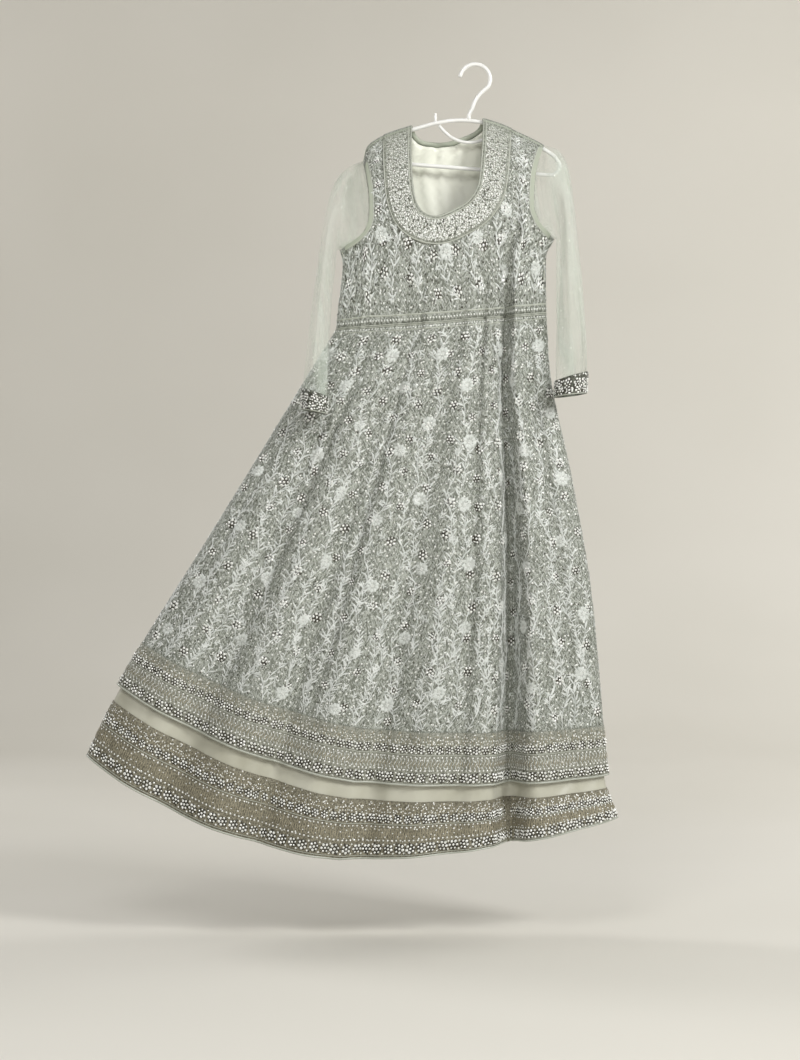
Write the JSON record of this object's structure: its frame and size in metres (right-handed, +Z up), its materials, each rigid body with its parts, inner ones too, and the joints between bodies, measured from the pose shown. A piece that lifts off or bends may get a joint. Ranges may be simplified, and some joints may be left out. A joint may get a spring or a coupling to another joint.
{
  "type": "maxi dress on a hanger",
  "caption": "Long embroidered maxi dress with sheer sleeves and a longer satin underskirt, hung on a tube hanger.",
  "frame": {"origin": "inside top of the hanger's hook, where it bears on a rail", "axes": "+Z up, the dress faces -Y, +X to the right as the dress is looked at"},
  "size_m": [1.1159, 0.2517, 1.6599],
  "materials": {
    "embroidered_net": "sage green net with silver thread embroidery and sequins",
    "sheer_net": "plain sheer pale green net with scattered sequins",
    "satin": "grey green satin",
    "pale_satin": "pale green satin lining",
    "beadwork": "silver and bronze beads on net",
    "white_plastic": "satin white plastic"
  },
  "bodies": {
    "root": {"bodice_front": "embroidered_net", "bodice_back": "embroidered_net", "neck_border_front": "beadwork", "neck_border_back": "beadwork", "neck_facing_back": "sheer_net", "lining_back": "pale_satin", "skirt_front": "embroidered_net", "skirt_back": "embroidered_net", "hem_border_front": "beadwork", "hem_border_back": "beadwork", "underskirt_front": "satin", "underskirt_back": "satin", "underskirt_border_front": "beadwork", "underskirt_border_back": "beadwork", "sleeve_right_front": "sheer_net", "sleeve_right_back": "sheer_net", "sleeve_left_front": "sheer_net", "sleeve_left_back": "sheer_net", "cuff_right": "beadwork", "cuff_left": "beadwork", "hanger_frame": "white_plastic", "hanger_hook": "white_plastic", "hanger_brace": "white_plastic"}
  },
  "joints": []
}
